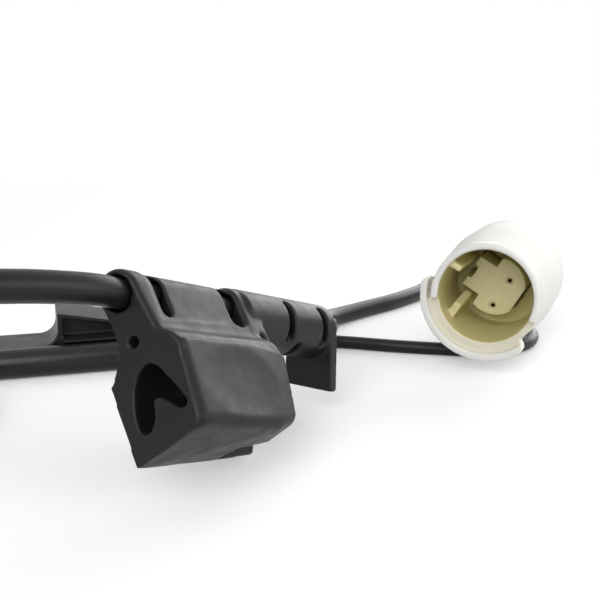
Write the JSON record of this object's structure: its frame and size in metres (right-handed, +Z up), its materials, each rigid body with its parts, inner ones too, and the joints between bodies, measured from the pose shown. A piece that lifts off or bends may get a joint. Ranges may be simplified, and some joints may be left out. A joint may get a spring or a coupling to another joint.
{
  "type": "brake pad wear sensor",
  "caption": "Brake pad wear sensor: small plug-in sensing head, round socket plug, coiled black lead, moulded lead holder, junction sleeve and guide clip",
  "frame": {"origin": "the middle of the sensor head's flat seating face, which lies on the table", "axes": "+Z is up from the table, +Y is the way the head's wear tongue points, +X is to the right of the picture"},
  "size_m": [0.1657, 0.1886, 0.0302],
  "materials": {
    "natural_nylon": "moulded natural nylon, satin",
    "carrier_nylon": "moulded nylon, satin",
    "terminal_brass": "copper alloy strip, satin",
    "seal_rubber": "soft seal rubber, matte",
    "core_insulation": "smooth wire insulation",
    "black_rubber": "soft black rubber, matte",
    "black_plastic": "moulded black nylon, satin",
    "lead_jacket": "smooth black cable jacket",
    "wear_tongue": "brown moulding, matte",
    "loop_copper": "bare copper wire",
    "spring_steel": "rolled spring steel, lightly brushed"
  },
  "bodies": {
    "root": {"connector_housing": "natural_nylon", "rear_cap": "natural_nylon", "contact_carrier": "carrier_nylon", "terminal_1": "terminal_brass", "terminal_2": "terminal_brass", "wire_seal": "seal_rubber", "core_wire_1": "core_insulation", "core_wire_2": "core_insulation", "connector_boot": "black_rubber", "holder_body": "black_plastic", "guide_clip": "black_plastic", "junction_sleeve": "black_rubber", "lead": "lead_jacket", "lead_coil": "lead_jacket", "lead_after_coil": "lead_jacket", "slim_lead": "lead_jacket", "coil_tie": "black_rubber", "head_body": "black_plastic", "wear_tongue": "wear_tongue", "sensing_loop": "loop_copper", "head_spring_clip": "spring_steel"}
  },
  "joints": []
}
